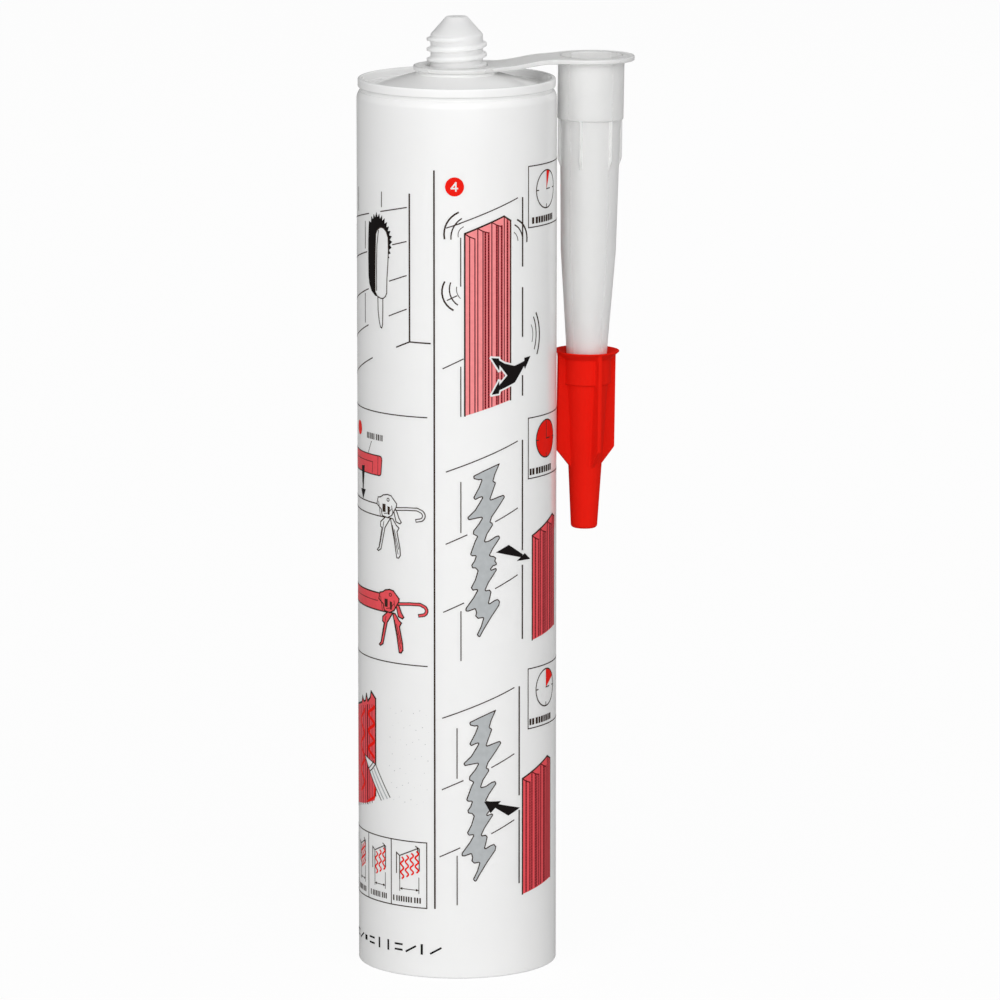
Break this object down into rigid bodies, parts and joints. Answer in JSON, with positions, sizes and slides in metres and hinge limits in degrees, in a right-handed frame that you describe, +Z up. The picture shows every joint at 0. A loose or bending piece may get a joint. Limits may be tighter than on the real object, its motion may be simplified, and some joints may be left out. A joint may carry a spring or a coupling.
{
  "type": "caulk tube",
  "caption": "Rigid cartridge with a closed threaded neck, a sliding rear piston and its filling, and a tapered nozzle with a finned cap hanging beside it on a moulded strap.",
  "frame": {"origin": "centre of the barrel's open rear end, in the plane that it stands on", "axes": "+Z up along the barrel's axis towards the neck, +X towards the hanging nozzle"},
  "size_m": [0.0694, 0.049, 0.2352],
  "materials": {
    "barrel_plastic": "satin white polyethylene",
    "piston_plastic": "natural polyethylene",
    "sealant_paste": "smooth paste",
    "nozzle_plastic": "translucent natural polyethylene",
    "cap_plastic": "satin red polyethylene"
  },
  "bodies": {
    "cartridge": {"barrel": "barrel_plastic", "sealant": "sealant_paste"},
    "piston": {"piston": "piston_plastic"},
    "nozzle": {"nozzle": "nozzle_plastic"},
    "cap": {"nozzle_cap": "cap_plastic"}
  },
  "joints": [
    {"name": "piston_slide", "type": "slide", "parent": "cartridge", "child": "piston", "axis": [0, 0, 1], "range_m": [0, 0.182], "deforming": ["sealant"]},
    {"name": "nozzle_swing", "type": "hinge", "parent": "cartridge", "child": "nozzle", "pos_m": [0, 0, 0.2227], "axis": [0, 0, 1], "continuous": true},
    {"name": "cap_pull", "type": "slide", "parent": "nozzle", "child": "cap", "axis": [-0.014, 0, -0.9999], "range_m": [0, 0.035]}
  ]
}
